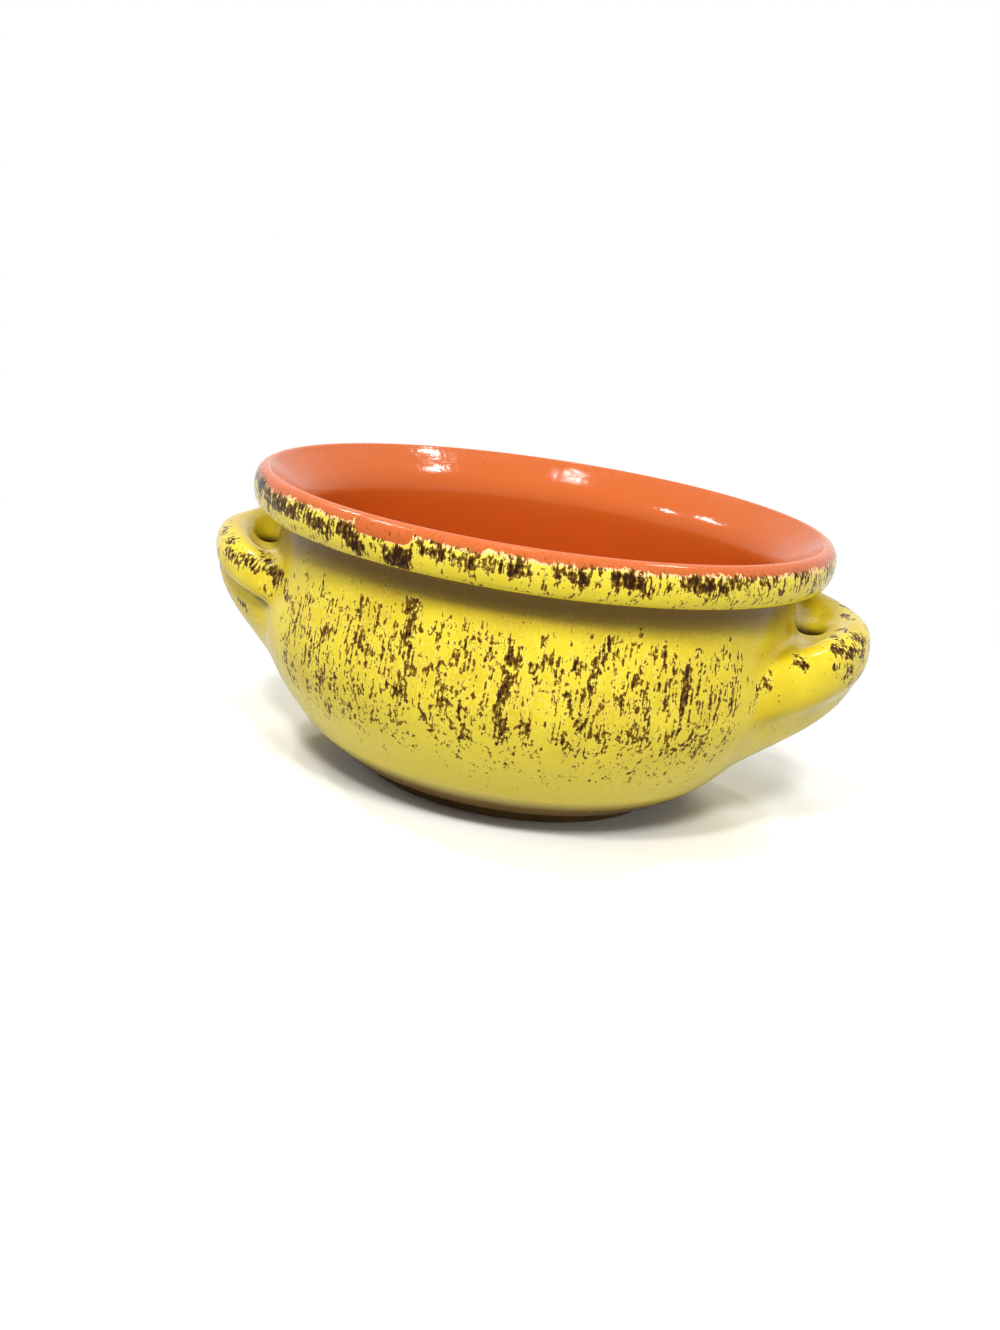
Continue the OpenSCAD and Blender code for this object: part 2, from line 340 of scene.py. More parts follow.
@dataclass(frozen=True)
class Ear:
    """One pinched ear: a loop of clay bar along the wall, on a keel that runs down to it.

    Sizes are in millimetres and angles in degrees. An angle below zero is on the front side. A
    crease is pressed in where the bar meets the keel. A fade is the power by which a form runs out
    from the ear's middle to its ends.
    """

    hand: str
    side: int
    out: float
    rise: float
    drop: float
    front_sink: float
    keel_root: float
    back_sink: float = -5.0
    keel_bend: float = 0.5
    crease: float = 0.0
    crease_w: float = 2.0
    blend: float = 4.0
    least_blend: float = 0.6
    tip_z: float = 49.4
    crest_in: float = 5.2
    crest_round: float = 0.8
    half_angle: float = 30.5
    bar_fade: float = 0.77
    bar_round: float = 0.85
    keel_fade: float = 1.8
    keel_short: float = 0.6
    keel_reach: Point = (0.5, 0.35)
    dish: float = 5.0
    dish_share: float = 0.6
    hole_d: float = 8.4
    hole_bite: float = 1.0
    hole_lean: float = 3.0
    drill_half: float = 30.0
    drill_segments: int = 64
    sunk: float = 1.2
    core: float = 14.0
    keel_steps: int = 24
    angle_steps: int = 60
    side_steps: int = 26
    top_steps: int = 12

    @property
    def name(self) -> str:
        """The ear's name as a piece."""
        return f"{self.hand}_ear"

    @property
    def nodes(self) -> list[str]:
        """The CAD nodes that the ear stands for."""
        return [f"{self.hand}_handle{end}" for end in ("", "_slip", "_glaze")]

    def keel(self, bowl: BowlShape) -> np.ndarray:
        """The keel's line in the ear's middle.

        Args:
            bowl: The bowl that the ear is pressed on.

        Returns:
            Rows of height and distance out from the wall.
        """
        root = np.array([float(bowl.wall_r(self.keel_root)) - self.sunk, self.keel_root])
        tip = np.array([float(bowl.wall_r(self.tip_z)) + self.out - self.keel_short, self.tip_z])
        rise = tip - root
        leave = root + np.array(self.keel_reach) * rise
        run = bezier([root, leave, [tip[0], root[1] + self.keel_bend * rise[1]], tip], self.keel_steps)
        return np.stack([run[:, 1], run[:, 0] - bowl.wall_r(run[:, 1])], 1)

    def outline(self, bowl: BowlShape, keel: np.ndarray, angle: float) -> np.ndarray:
        """The ear's closed outline at an angle: up the keel and the bar, over the crest, down the dish.

        Args:
            bowl: The bowl that the ear is pressed on.
            keel: The keel's line.
            angle: Where round the bowl, from the ear's middle.

        Returns:
            The outline as [radius, height].
        """
        fade = max(math.cos(math.pi / 2 * angle / self.half_angle), 0.0)
        sink = self.front_sink if angle < 0 else self.back_sink
        mid_z = self.tip_z - sink * (angle / self.half_angle) ** 2
        z = np.linspace(self.keel_root, mid_z, self.side_steps + 1)
        outer = np.stack([bowl.wall_r(z) + self._proud(keel, z, mid_z, fade) - self.sunk, z], 1)

        crest_r = outer[-1][0] - self.crest_in
        a = np.linspace(0, math.pi / 2, self.top_steps + 1)[1:]
        crest = np.stack([np.cos(a).clip(0), np.sin(a)], 1) ** self.crest_round
        upper = [crest_r, mid_z] + crest * [self.crest_in, self.rise]

        run = np.linspace(0, 1, self.top_steps + 1)[1:]
        end_r = min(float(bowl.wall_r(mid_z)), crest_r) - self.sunk
        hollow = (1 - np.cos(np.pi * np.minimum(run / self.dish_share, 1))) / 2
        top = mid_z + self.rise - self.dish * fade**2 * hollow
        dish = np.stack([crest_r + run * (end_r - crest_r), top], 1)
        core_r = min(float(bowl.wall_r(self.tip_z)), float(bowl.wall_r(self.keel_root))) - self.core
        return np.concatenate([[[core_r, self.keel_root]], outer, upper, dish, [[core_r, dish[-1][1]]]])

    def _proud(self, keel: np.ndarray, z: np.ndarray, mid_z: float, fade: float) -> np.ndarray:
        """How far the ear's outer face stands off the wall, less what is sunk in it.

        Args:
            keel: The keel's line.
            z: Heights to read it at.
            mid_z: Height of the bar's widest line.
            fade: One in the ear's middle, falling to 0 at its ends.

        Returns:
            The distance at each height.
        """
        share = np.maximum(mid_z - z, 0) / self.drop
        end = math.sqrt(1 - self.bar_round**2)
        curved = 1 - np.sqrt(np.clip(1 - share**2, 0, 1))
        straight = 1 - end + (share - self.bar_round) * self.bar_round / end
        back = np.where(share < self.bar_round, curved, straight)
        bar = (self.out + self.sunk) * fade**self.bar_fade - self.crest_in * back
        keel_out = (np.interp(z, keel[:, 0], keel[:, 1]) + self.sunk) * fade**self.keel_fade
        blend = self.least_blend + self.blend * fade * (1 - fade)
        apart = np.abs(bar - keel_out)
        soft = np.maximum(bar, keel_out) + np.maximum(blend - apart, 0) ** 2 / (4 * blend)
        return soft - self.crease * (1 - fade**4) * np.exp(-((apart / self.crease_w) ** 2))

    def solid(self, bowl: BowlShape) -> bpy.types.Object:
        """Loft the ear and drill its finger hole.

        Args:
            bowl: The bowl that the ear is pressed on.

        Returns:
            A helper object; its Boolean modifier drills the hole.
        """
        keel = self.keel(bowl)
        angles = np.linspace(-self.half_angle, self.half_angle, self.angle_steps + 1)
        rows = []
        for angle in angles:
            row = self.outline(bowl, keel, angle)
            across, along = math.cos(math.radians(angle)) * self.side, math.sin(math.radians(angle))
            rows.append(np.stack([row[:, 0] * across, row[:, 0] * along, row[:, 1]], 1))
        n = len(rows[0])
        faces = [list(range(n)), [self.angle_steps * n + j for j in range(n)]]
        for i in range(self.angle_steps):
            near, far = i * n, (i + 1) * n
            faces += [[near + j, near + (j + 1) % n, far + (j + 1) % n, far + j] for j in range(n)]
        ear = self._outwards(mesh_object(f"{self.name}_form", np.concatenate(rows), faces))
        cut = ear.modifiers.new("finger hole", "BOOLEAN")
        cut.operation, cut.solver, cut.object = "DIFFERENCE", "EXACT", self._drill(bowl)
        return ear

    def hole_r(self, bowl: BowlShape, z: np.ndarray) -> np.ndarray:
        """How far the leaning finger hole's middle lies from the bowl's axis at each height."""
        level = float(bowl.wall_r(self.tip_z)) + self.hole_d / 2 - self.hole_bite
        return level - math.tan(math.radians(self.hole_lean)) * (z - self.tip_z)

    def _drill(self, bowl: BowlShape) -> bpy.types.Object:
        """The drill that makes the finger hole, a long cylinder that leans out downwards.

        Args:
            bowl: The bowl that the ear is pressed on.

        Returns:
            A helper object.
        """
        r, half = self.hole_d / 2, self.drill_half
        points, faces = thrown(np.array([[0, -half], [r, -half], [r, half], [0, half]]), self.drill_segments)
        lean = math.radians(self.hole_lean)
        x = points[:, 0] * math.cos(lean) - points[:, 2] * math.sin(lean)
        z = points[:, 0] * math.sin(lean) + points[:, 2] * math.cos(lean)
        middle = float(self.hole_r(bowl, np.float64(self.tip_z)))
        points = np.stack([(x + middle) * self.side, points[:, 1], z + self.tip_z], 1)
        return self._outwards(mesh_object(f"{self.name}_drill", points, faces))

    @staticmethod
    def _outwards(piece: bpy.types.Object) -> bpy.types.Object:
        """Turn all faces of a closed mesh outwards.

        Args:
            piece: The mesh object.

        Returns:
            The same object.
        """
        form = bmesh.new()
        form.from_mesh(piece.data)
        bmesh.ops.recalc_face_normals(form, faces=form.faces)
        form.to_mesh(piece.data)
        form.free()
        return piece


# The camera, fitted to the rim's two outlines, the wall and the foot


@dataclass(frozen=True)
class Viewpoint:
    """The camera, in rim radii from the middle of the foot; a frame pixel is one of 1000 by 1330."""

    rim_r: float = 75.0
    distance: float = 5.73
    elevation: float = 13.92
    turned: Place = (-1.15, -0.89, -8.53)
    azimuth: float = 5.0
    aim_z: float = 0.5
    focal_px: float = 1627.1
    frame_px: tuple[int, int] = (1000, 1330)
    sensor_mm: float = 36.0
    clip_m: Point = (0.01, 50.0)

    def pose(self) -> tuple[np.ndarray, np.ndarray]:
        """Where the camera stands and how it is turned.

        Returns:
            Its place in millimetres, and a matrix whose columns are right, down and forward.
        """
        e = math.radians(self.elevation)
        place = np.array([0, -self.distance * math.cos(e), self.distance * math.sin(e) + self.aim_z])
        forward = unit(np.array([0, 0, self.aim_z]) - place)
        right = unit(np.cross(forward, [0, 0, 1]))
        base = np.column_stack([right, np.cross(forward, right), forward])
        turn = Vector([math.radians(a) for a in self.turned])
        base = base @ np.array(Matrix.Rotation(turn.length, 3, turn.normalized()))
        spin = np.array(Matrix.Rotation(math.radians(self.azimuth), 3, "Z"))
        return spin @ place * self.rim_r, spin @ base

    def ray(self, pixel: Point) -> tuple[Vector, Vector]:
        """The line of sight through a pixel of the frame.

        Args:
            pixel: Across and down from the frame's upper left corner.

        Returns:
            Its start in metres and its direction.
        """
        place, base = self.pose()
        across, down = ((pixel[k] - self.frame_px[k] / 2) / self.focal_px for k in (0, 1))
        return Vector(place * MM), Vector(base @ np.array([across, down, 1.0])).normalized()

    def build(self) -> None:
        """Add the camera to the scene."""
        place, base = self.pose()
        lens = bpy.data.cameras.new("camera")
        lens.sensor_width = self.sensor_mm
        lens.lens = self.focal_px * self.sensor_mm / self.frame_px[1]
        lens.clip_start, lens.clip_end = self.clip_m
        camera = placed("camera", lens)
        matrix = np.eye(4)
        matrix[:3, :3] = base * [1, -1, -1]
        matrix[:3, 3] = place * MM
        camera.matrix_world = Matrix(matrix.tolist())
        bpy.context.scene.camera = camera


# Brush strokes


@dataclass(frozen=True)
class Stroke:
    """A stroke of brown, between two places of the photographed frame, in pixels."""

    start: Point
    end: Point
    width: float
    strength: float


def strokes(width: float, strength: float, *ends: tuple[float, float, float, float]) -> list[Stroke]:
    """Several strokes of one width.

    Args:
        width: Width in millimetres.
        strength: How much brown they carry, from 0 to 1.
        ends: Start and end of each, in pixels.

    Returns:
        The strokes.
    """
    return [Stroke((a, b), (c, d), width, strength) for a, b, c, d in ends]


FRONT_STROKES: list[Stroke] = [
    *strokes(3.2, 0.62, (414, 603, 408, 650), (408, 650, 401, 706)),
    *strokes(2.4, 0.78, (409, 625, 406, 655), (607, 641, 598, 668), (598, 668, 590, 690)),
    *strokes(2.2, 0.5, (361, 600, 360, 656), (326, 600, 326, 650), (590, 690, 585, 716)),
    *strokes(1.2, 0.55, (310, 600, 311, 678), (345, 604, 345, 640), (380, 606, 379, 690)),
    *strokes(1.8, 0.66, (490, 638, 490, 686), (509, 638, 509, 663)),
    *strokes(3.0, 0.74, (507, 676, 507, 684), (505, 692, 505, 696)),
    *strokes(3.4, 0.7, (501, 716, 501, 742)),
    *strokes(1.8, 0.62, (544, 640, 534, 683), (531, 691, 521, 718), (521, 728, 521, 737)),
    *strokes(2.6, 0.66, (464, 684, 464, 688), (462, 709, 462, 713), (467, 726, 467, 730)),
    *strokes(1.1, 0.62, (459, 738, 459, 759), (329, 696, 329, 721)),
    *strokes(0.8, 0.6, (487, 779, 487, 787)),
    *strokes(2.6, 0.68, (578, 666, 578, 670), (565, 697, 565, 701), (579, 731, 579, 735)),
    *strokes(2.0, 0.6, (646, 658, 633, 686), (650, 711, 641, 744)),
    *strokes(4.4, 0.52, (640, 706, 628, 743)),
    *strokes(1.2, 0.58, (666, 641, 658, 686), (736, 683, 729, 706), (698, 651, 697, 663)),
    *strokes(2.2, 0.82, (689, 665, 680, 714)),
    *strokes(1.8, 0.7, (679, 716, 678, 731), (740, 653, 740, 658)),
    *strokes(2.6, 0.5, (766, 683, 757, 706), (757, 706, 747, 714)),
]

EAR_STROKES: list[Stroke] = [
    *strokes(3.0, 0.66, (222, 529, 232, 541), (226, 551, 240, 563), (244, 558, 257, 568)),
    *strokes(3.2, 0.68, (264, 553, 275, 582), (281, 575, 289, 598)),
    *strokes(2.2, 0.6, (240, 602, 249, 610), (219, 552, 221, 570), (262, 585, 268, 592)),
    *strokes(2.0, 0.78, (836, 597, 844, 601), (843, 606, 852, 610), (843, 615, 852, 619)),
    *strokes(2.2, 0.78, (840, 629, 850, 633), (832, 636, 840, 640), (853, 638, 862, 642)),
    *strokes(3.6, 0.85, (838, 651, 850, 654)),
    *strokes(2.4, 0.7, (836, 666, 842, 669), (857, 650, 862, 660)),
    *strokes(3.0, 0.62, (798, 656, 802, 666), (768, 680, 768, 684), (758, 688, 758, 692)),
    *strokes(2.6, 0.7, (852, 668, 846, 678), (861, 642, 863, 656)),
]

RIM_STROKES: list[Stroke] = [
    *strokes(3.6, 0.95, (257, 470, 262, 484)),
    *strokes(4.0, 0.8, (260, 482, 270, 498), (268, 497, 300, 514)),
    *strokes(4.0, 0.85, (300, 512, 326, 530), (342, 528, 358, 548)),
    *strokes(3.0, 0.95, (386, 551, 406, 556), (390, 561, 404, 564)),
    *strokes(3.0, 0.78, (424, 551, 440, 556), (450, 556, 468, 566)),
    *strokes(3.2, 0.82, (490, 562, 508, 570), (512, 567, 530, 572), (560, 573, 580, 578)),
    *strokes(3.2, 0.82, (618, 578, 640, 583), (686, 583, 704, 587), (712, 582, 722, 588)),
    *strokes(2.8, 0.75, (752, 579, 776, 582), (795, 574, 810, 576)),
]

ORANGE_RUNS: list[Stroke] = strokes(2.6, 1.0, (362, 527, 384, 533), (384, 533, 404, 538))


@dataclass(frozen=True)
class BackBrushing:
    """What strokes behind are drawn from: ranges in millimetres, degrees or shares."""

    seed: int = 7
    columns: int = 30
    first: float = 5.0
    span: float = 170.0
    within_column: Point = (0.1, 0.9)
    top_z: Point = (50, 60)
    length: Point = (8, 30)
    slant: Point = (-1.5, 3.5)
    width: Point = (1.2, 3.2)
    strength: Point = (0.42, 0.8)
    dabs: tuple[int, int] = (1, 4)
    gap: Point = (1, 5)
    next_length: Point = (3, 12)
    drift: Point = (-2, 2)
    lowest_z: float = 16.0
    last_top_z: float = 24.0
    step_mm: float = 0.6
    away_m: float = 0.2


@dataclass
class SkinPaint:
    """Amounts of brushed brown, and of orange that ran down, at the skin's vertices.

    A stroke follows the surface between its two pixels. Where the camera doesn't see, strokes of
    the same kinds are laid round the wall from a fixed seed. Each way gives an amount from 0 to 1.
    """

    points: np.ndarray
    faces: Sequence[Sequence[int]]
    view: Viewpoint
    behind: BackBrushing = BackBrushing()
    pixel_step: float = 2.0
    full_share: float = 0.25
    tree: BVHTree = field(init=False)
    finder: KDTree = field(init=False)

    def __post_init__(self) -> None:
        """Make the two searches, for where a line of sight ends and for what lies near."""
        self.tree = BVHTree.FromPolygons((self.points * MM).tolist(), self.faces)
        self.finder = KDTree(len(self.points))
        for i, point in enumerate(self.points):
            self.finder.insert(point, i)
        self.finder.balance()

    def laid(self, chosen: Sequence[Stroke]) -> np.ndarray:
        """Lay strokes where the photographed frame shows them.

        Args:
            chosen: The strokes.

        Returns:
            The amount at each vertex.
        """
        amount = np.zeros(len(self.points))
        for stroke in chosen:
            count = max(2, round(math.dist(stroke.start, stroke.end) / self.pixel_step))
            start, end = np.array(stroke.start), np.array(stroke.end)
            pixels = [tuple(start + t * (end - start)) for t in np.linspace(0, 1, count + 1)]
            hits = [self.tree.ray_cast(*self.view.ray(pixel))[0] for pixel in pixels]
            self._lay(amount, hits, stroke.width, stroke.strength)
        return amount

    def laid_behind(self) -> np.ndarray:
        """Lay strokes where the camera doesn't see.

        Returns:
            The amount at each vertex.
        """
        amount = np.zeros(len(self.points))
        b = self.behind
        chance = np.random.default_rng(b.seed)
        for k in range(b.columns):
            azimuth = math.radians(b.first + b.span * (k + chance.uniform(*b.within_column)) / b.columns)
            top, length = chance.uniform(*b.top_z), chance.uniform(*b.length)
            slant = math.radians(chance.uniform(*b.slant))
            width, strength = chance.uniform(*b.width), chance.uniform(*b.strength)
            for _ in range(int(chance.integers(*b.dabs))):
                hits = []
                for z in np.arange(top, max(top - length, b.lowest_z), -b.step_mm):
                    a = azimuth + slant * (top - z) / max(length, 1)
                    out = Vector((math.cos(a), math.sin(a), 0))
                    hits.append(self.tree.ray_cast(b.away_m * out + Vector((0, 0, z * MM)), -out)[0])
                self._lay(amount, hits, width, strength)
                top, length = top - length - chance.uniform(*b.gap), chance.uniform(*b.next_length)
                azimuth += math.radians(chance.uniform(*b.drift))
                if top < b.last_top_z:
                    break
        return amount

    def _lay(self, amount: np.ndarray, hits: Sequence[Vector | None], width: float, strength: float) -> None:
        """Add one stroke to the vertices near its line.

        Args:
            amount: The amounts, which it raises.
            hits: Places along the stroke in metres, or None where it misses the skin.
            width: How far it reaches to each side, in millimetres.
            strength: The most that it adds.
        """
        for hit in hits:
            if hit is None:
                continue
            for _, index, distance in self.finder.find_range(Vector(hit) / MM, width):
                share = float(smooth_step(np.float64(distance), width, self.full_share * width))
                amount[index] = max(amount[index], strength * share)


# Materials


class Graph:
    """A material's or world's nodes.

    Inputs go by name or, where a node has several of one name, by number. A MapRange node takes its
    value at 0, the range that it reads at 1 and 2 and the range that it gives at 3 and 4. A Mix node
    takes its share at 0 and two colours at 6 and 7.
    """

    def __init__(self, tree: bpy.types.NodeTree) -> None:
        """Start with an empty tree."""
        self.tree = tree
        tree.nodes.clear()

    def add(
        self, kind: str, inputs: Mapping[int | str, Any] | None = None, out: int | str = 0, **settings: Any
    ) -> Socket:
        """Add a node.

        Args:
            kind: Its type, without the leading ShaderNode.
            inputs: Each input's value, or the socket that is linked to it.
            out: Which output to hand back.
            settings: Properties of the node.

        Returns:
            The chosen output, or the node's first input where it has no output.
        """
        node = self.tree.nodes.new("ShaderNode" + kind)
        for name, value in settings.items():
            setattr(node, name, value)
        for key, value in (inputs or {}).items():
            if isinstance(value, Socket):
                self.tree.links.new(value, node.inputs[key])
            else:
                node.inputs[key].default_value = value
        return node.outputs[out] if len(node.outputs) else node.inputs[0]


@dataclass(frozen=True)
class Look:
    """What a finish gives its shader: sockets, or plain numbers for the last two."""

    colour: Socket
    height: Socket
    roughness: Any
    shine: Any = 0.5


@dataclass(frozen=True)
class Finish:
    """A surface's finish: what it is made of and how it was made."""

    name: str
    base: str
    roughness: float
    ior: float

    def material(self) -> bpy.types.Material:
        """Make the material and its nodes.

        Returns:
            The finished material.
        """
        material = bpy.data.materials.new(self.name)
        material.use_nodes = True
        material.diffuse_color = linear(self.base)
        graph = Graph(material.node_tree)
        look = self.surface(graph)
        normal = graph.add("Bump", {"Strength": 1.0, "Distance": 1.0, "Height": look.height})
        shader = graph.add(
            "BsdfPrincipled",
            {"Base Color": look.colour, "Roughness": look.roughness, "Specular IOR Level": look.shine,
             "IOR": self.ior, "Normal": normal},
        )
        graph.add("OutputMaterial", {"Surface": shader})
        return material

    def surface(self, graph: Graph) -> Look:
        """The surface's look; each finish has its own."""
        raise NotImplementedError


@dataclass(frozen=True)
class BisqueClay(Finish):
    """Unglazed terracotta bisque, turned on the wheel and wiped: it looks matt and dusty, clouded
    with wiped slip, with a fine grain."""

    name: str = "terracotta bisque, turned and wiped"
    base: str = "#74572a"
    shade: str = "#4f3b1a"
    roughness: float = 0.85
    ior: float = 1.45
    grain_mm: float = 0.5
    grain_deep_mm: float = 0.04
    cloud_mm: float = 9.0
    clear: Point = (0.12, 0.42)

    def surface(self, graph: Graph) -> Look:
        """Dusty grain in soft clouds.

        Args:
            graph: The material's nodes.

        Returns:
            The clay's look.
        """
        place = graph.add("TexCoord", out="Object")
        grain, cloud = (
            graph.add("TexNoise", {"Vector": place, "Scale": 1 / (across * MM), "Detail": detail})
            for across, detail in ((self.grain_mm, 4.0), (self.cloud_mm, 5.0))
        )
        share = graph.add("Math", {0: grain, 1: cloud}, operation="MULTIPLY")
        share = graph.add("MapRange", {0: share, 1: self.clear[0], 2: self.clear[1]})
        colour = graph.add("Mix", {0: share, 6: linear(self.shade), 7: linear(self.base)}, **COLOURS)
        height = graph.add("Math", {0: grain, 1: self.grain_deep_mm * MM}, operation="MULTIPLY")
        return Look(colour, height, self.roughness)


@dataclass(frozen=True)
class OrangeGlaze(Finish):
    """Transparent lead-free glaze over red earthenware, dipped: it looks wet and even, a little
    darker where it pools in the bowl and paler and pink where it thins over the lip."""

    name: str = "orange glaze on red earthenware, dipped"
    base: str = "#b75820"
    deep: str = "#b9541a"
    lip: str = "#bf683e"
    roughness: float = 0.12
    ior: float = 1.38
    shine: float = 0.4
    speck_mm: float = 0.7
    speck_cut: Point = (0.38, 0.75)
    cloud_mm: float = 14.0
    waver_mm: float = 6.0
    flare_z: Point = (62.0, 66.0)
    lip_z: Point = (74.0, 77.0)
    throwing: tuple[Point, ...] = ((14.0, 0.3), (1.7, 0.05))

    def colour(self, graph: Graph, place: Socket) -> Socket:
        """The glaze's colour, which both the inside and the lip's outer face take.

        Args:
            graph: The material's nodes.
            place: Object coordinates in metres.

        Returns:
            The colour.
        """
        z = graph.add("SeparateXYZ", {0: place}, out=2)
        cloud, speck = (
            graph.add("TexNoise", {"Vector": place, "Scale": 1 / (across * MM), "Detail": detail})
            for across, detail in ((self.cloud_mm, 5.0), (self.speck_mm, 3.0))
        )
        wave = graph.add("Math", {0: cloud, 1: self.waver_mm * MM, 2: z}, operation="MULTIPLY_ADD")
        flare, lip = (
            graph.add("MapRange", {0: wave, 1: start * MM, 2: end * MM})
            for start, end in (self.flare_z, self.lip_z)
        )
        speck = graph.add("MapRange", {0: speck, 1: self.speck_cut[0], 2: self.speck_cut[1]})
        lip = graph.add("Math", {0: lip, 1: speck}, operation="MULTIPLY")
        colour: Any = linear(self.deep)
        for share, shade in ((flare, self.base), (lip, self.lip)):
            colour = graph.add("Mix", {0: share, 6: colour, 7: linear(shade)}, **COLOURS)
        return colour

    def surface(self, graph: Graph) -> Look:
        """The glaze over faint throwing marks.

        Args:
            graph: The material's nodes.

        Returns:
            The glaze's look.
        """
        place = graph.add("TexCoord", out="Object")
        height: Any = 0.0
        for across, deep in self.throwing:
            noise = graph.add("TexNoise", {"Vector": place, "Scale": 1 / (across * MM), "Detail": 2.0})
            height = graph.add("Math", {0: noise, 1: deep * MM, 2: height}, operation="MULTIPLY_ADD")
        return Look(self.colour(graph, place), height, self.roughness, self.shine)


@dataclass(frozen=True)
class Grain:
    """One layer of the noise that breaks up the brushed brown."""

    across_mm: float
    share: float
    run: float = 1.0
    detail: float = 2.0


class Fade(Enum):
    """How one tone of the glaze gives way to the next."""

    SOFT = "SMOOTHSTEP"
    STRAIGHT = "LINEAR"


@dataclass(frozen=True)
class Tone:
    """A tone of the glaze, which comes in from one height to another, in millimetres."""

    colour: str
    start: float
    end: float
    fade: Fade = Fade.SOFT


@dataclass(frozen=True)
class YellowGlaze(Finish):
    """Opaque yellow glaze brushed with manganese brown before the glost firing: it looks smooth and
    shiny, streaked where the dry brush skipped, with pale rings where the two glazes ran.

    The tones are painted light and shade: a lighter lower wall for light bounced up from the floor,
    a painted shadow under the rim, the plain roll where that shadow ends, and painted shade on the
    heel where it turns under. A cut is where a layer comes in: past what leaves the glaze bare, or
    where thick brown lies over the orange and leaves a share of it to show.
    """

    name: str = "yellow glaze brushed with brown, glost fired"
    base: str = "#dcc62a"
    thick: str = "#cbb01e"
    pale: str = "#ecdc62"
    brown: str = "#2c1507"
    thin_brown: str = "#7c5c14"
    painted_hollow_shade: str = "#453010"
    # Painted shade for the finger holes and the ears' creases.
    cream: str = "#f0c48a"
    # Painted light and shade by height: a lighter lower wall for bounced light, a painted shadow under the
    # rim, plain yellow again on the roll, and painted shade on the heel.
    tones: tuple[Tone, ...] = (
        Tone("#f2dc50", 36.0, 16.0), Tone("#75580a", 53.0, 61.0),
        Tone("#dcc62a", 63.9, 64.4, Fade.STRAIGHT), Tone("#876a30", 11.5, 7.5, Fade.STRAIGHT),
    )
    roughness: float = 0.17
    ior: float = 1.36
    shine: Point = (0.42, 0.15)
    inside: OrangeGlaze = OrangeGlaze()
    grains: tuple[Grain, ...] = (Grain(0.9, 0.9), Grain(0.7, 0.8, run=0.12), Grain(4.0, 0.5, detail=1.0))
    grain_rough: float = 0.6
    run: float = 0.8
    brush_share: float = 0.5
    cover: float = 0.28
    least_brown: float = 0.06
    dark_cut: Point = (-0.03, 0.045)
    core_cut: Point = (0.03, 0.24)
    halo_cut: Point = (-0.16, -0.04)
    over_cut: Point = (0.25, 0.9)
    orange_left: float = 0.3
    rim_r: float = 75.0
    edge_z: float = 72.4
    edge_mm: float = 3.5
    ragged_mm: float = 5.0
    ran_mm: float = 4.0
    cream_mm: Point = (-0.9, -0.4)
    orange_mm: Point = (0.0, 0.3)
    cloud_mm: float = 12.0
    cloud_cut: Point = (0.35, 0.7)
    swell_mm: float = 9.0
    swell_deep_mm: float = 0.3
    brown_deep_mm: float = 0.03

    def surface(self, graph: Graph) -> Look:
        """Yellow with streaks of brown, and the ragged edge to the orange on the roll.

        Args:
            graph: The material's nodes.

        Returns:
            The glaze's look.
        """
        place = graph.add("TexCoord", out="Object")
        z = graph.add("SeparateXYZ", {0: place}, out=2)
        along = self._along_the_wall(graph, place)
        dark, core, halo = self._brushing(graph, along)
        cream, orange = self._edge(graph, along, z)
        start, end = self.over_cut
        under = graph.add("MapRange", {0: core, 1: start, 2: end, 3: 1.0, 4: self.orange_left})
        orange = graph.add("Math", {0: orange, 1: under}, operation="MULTIPLY")
        # The hollow layer is painted shade in the finger holes and the ears' creases.
        hollow = graph.add("Attribute", out="Fac", attribute_name="hollow")
        cloud = graph.add("TexNoise", {"Vector": place, "Scale": 1 / (self.cloud_mm * MM), "Detail": 4.0})
        cloud = graph.add("MapRange", {0: cloud, 1: self.cloud_cut[0], 2: self.cloud_cut[1]})
        brown = graph.add("Mix", {0: core, 6: linear(self.thin_brown), 7: linear(self.brown)}, **COLOURS)

        layers = [(cloud, linear(self.thick))]
        # The height tones paint light and shade: a lighter low wall, a shadow under the rim and shade on the
        # heel.
        for tone in self.tones:
            reach = {0: z, 1: tone.start * MM, 2: tone.end * MM}
            share = graph.add("MapRange", reach, interpolation_type=tone.fade.value)
            layers.append((share, linear(tone.colour)))
        # Over the tones lie the pale rings, the cream line, the brown, the painted shade in holes and
        # creases, and the orange.
        layers += [
            (halo, linear(self.pale)), (cream, linear(self.cream)), (dark, brown),
            (hollow, linear(self.painted_hollow_shade)), (orange, self.inside.colour(graph, place)),
        ]
        colour: Any = linear(self.base)
        for share, shade in layers:
            colour = graph.add("Mix", {0: share, 6: colour, 7: shade}, **COLOURS)

        swell = graph.add("TexNoise", {"Vector": place, "Scale": 1 / (self.swell_mm * MM), "Detail": 2.0})
        height = graph.add("Math", {0: swell, 1: self.swell_deep_mm * MM}, operation="MULTIPLY")
        sunk = {0: dark, 1: -self.brown_deep_mm * MM, 2: height}
        height = graph.add("Math", sunk, operation="MULTIPLY_ADD")
        matt = graph.add("MapRange", {0: orange, 1: 1.0, 2: 0.0})
        matt = graph.add("Math", {0: matt, 1: dark}, operation="MULTIPLY")
        shine = graph.add("MapRange", {0: matt, 3: self.shine[0], 4: self.shine[1]})
        return Look(colour, height, self.roughness, shine)

    def _brushing(self, graph: Graph, along: Socket) -> tuple[Socket, Socket, Socket]:
        """The brushed brown, broken up by noise where the dry brush skipped.

        Args:
            graph: The material's nodes.
            along: Where to read noise.

        Returns:
            How far there is brown, how far it lies thick, and the pale ring round it.
        """
        amount = graph.add("Attribute", out="Fac", attribute_name="brown")
        mix = graph.add("Math", {0: amount, 1: self.brush_share}, operation="MULTIPLY")
        for grain in self.grains:
            spot = graph.add("VectorMath", {0: along, 1: (1, 1, grain.run)}, operation="MULTIPLY")
            noise = graph.add(
                "TexNoise",
                {"Vector": spot, "Scale": 1 / (grain.across_mm * MM), "Detail": grain.detail,
                 "Roughness": self.grain_rough},
            )
            mix = graph.add("Math", {0: noise, 1: grain.share, 2: mix}, operation="MULTIPLY_ADD")
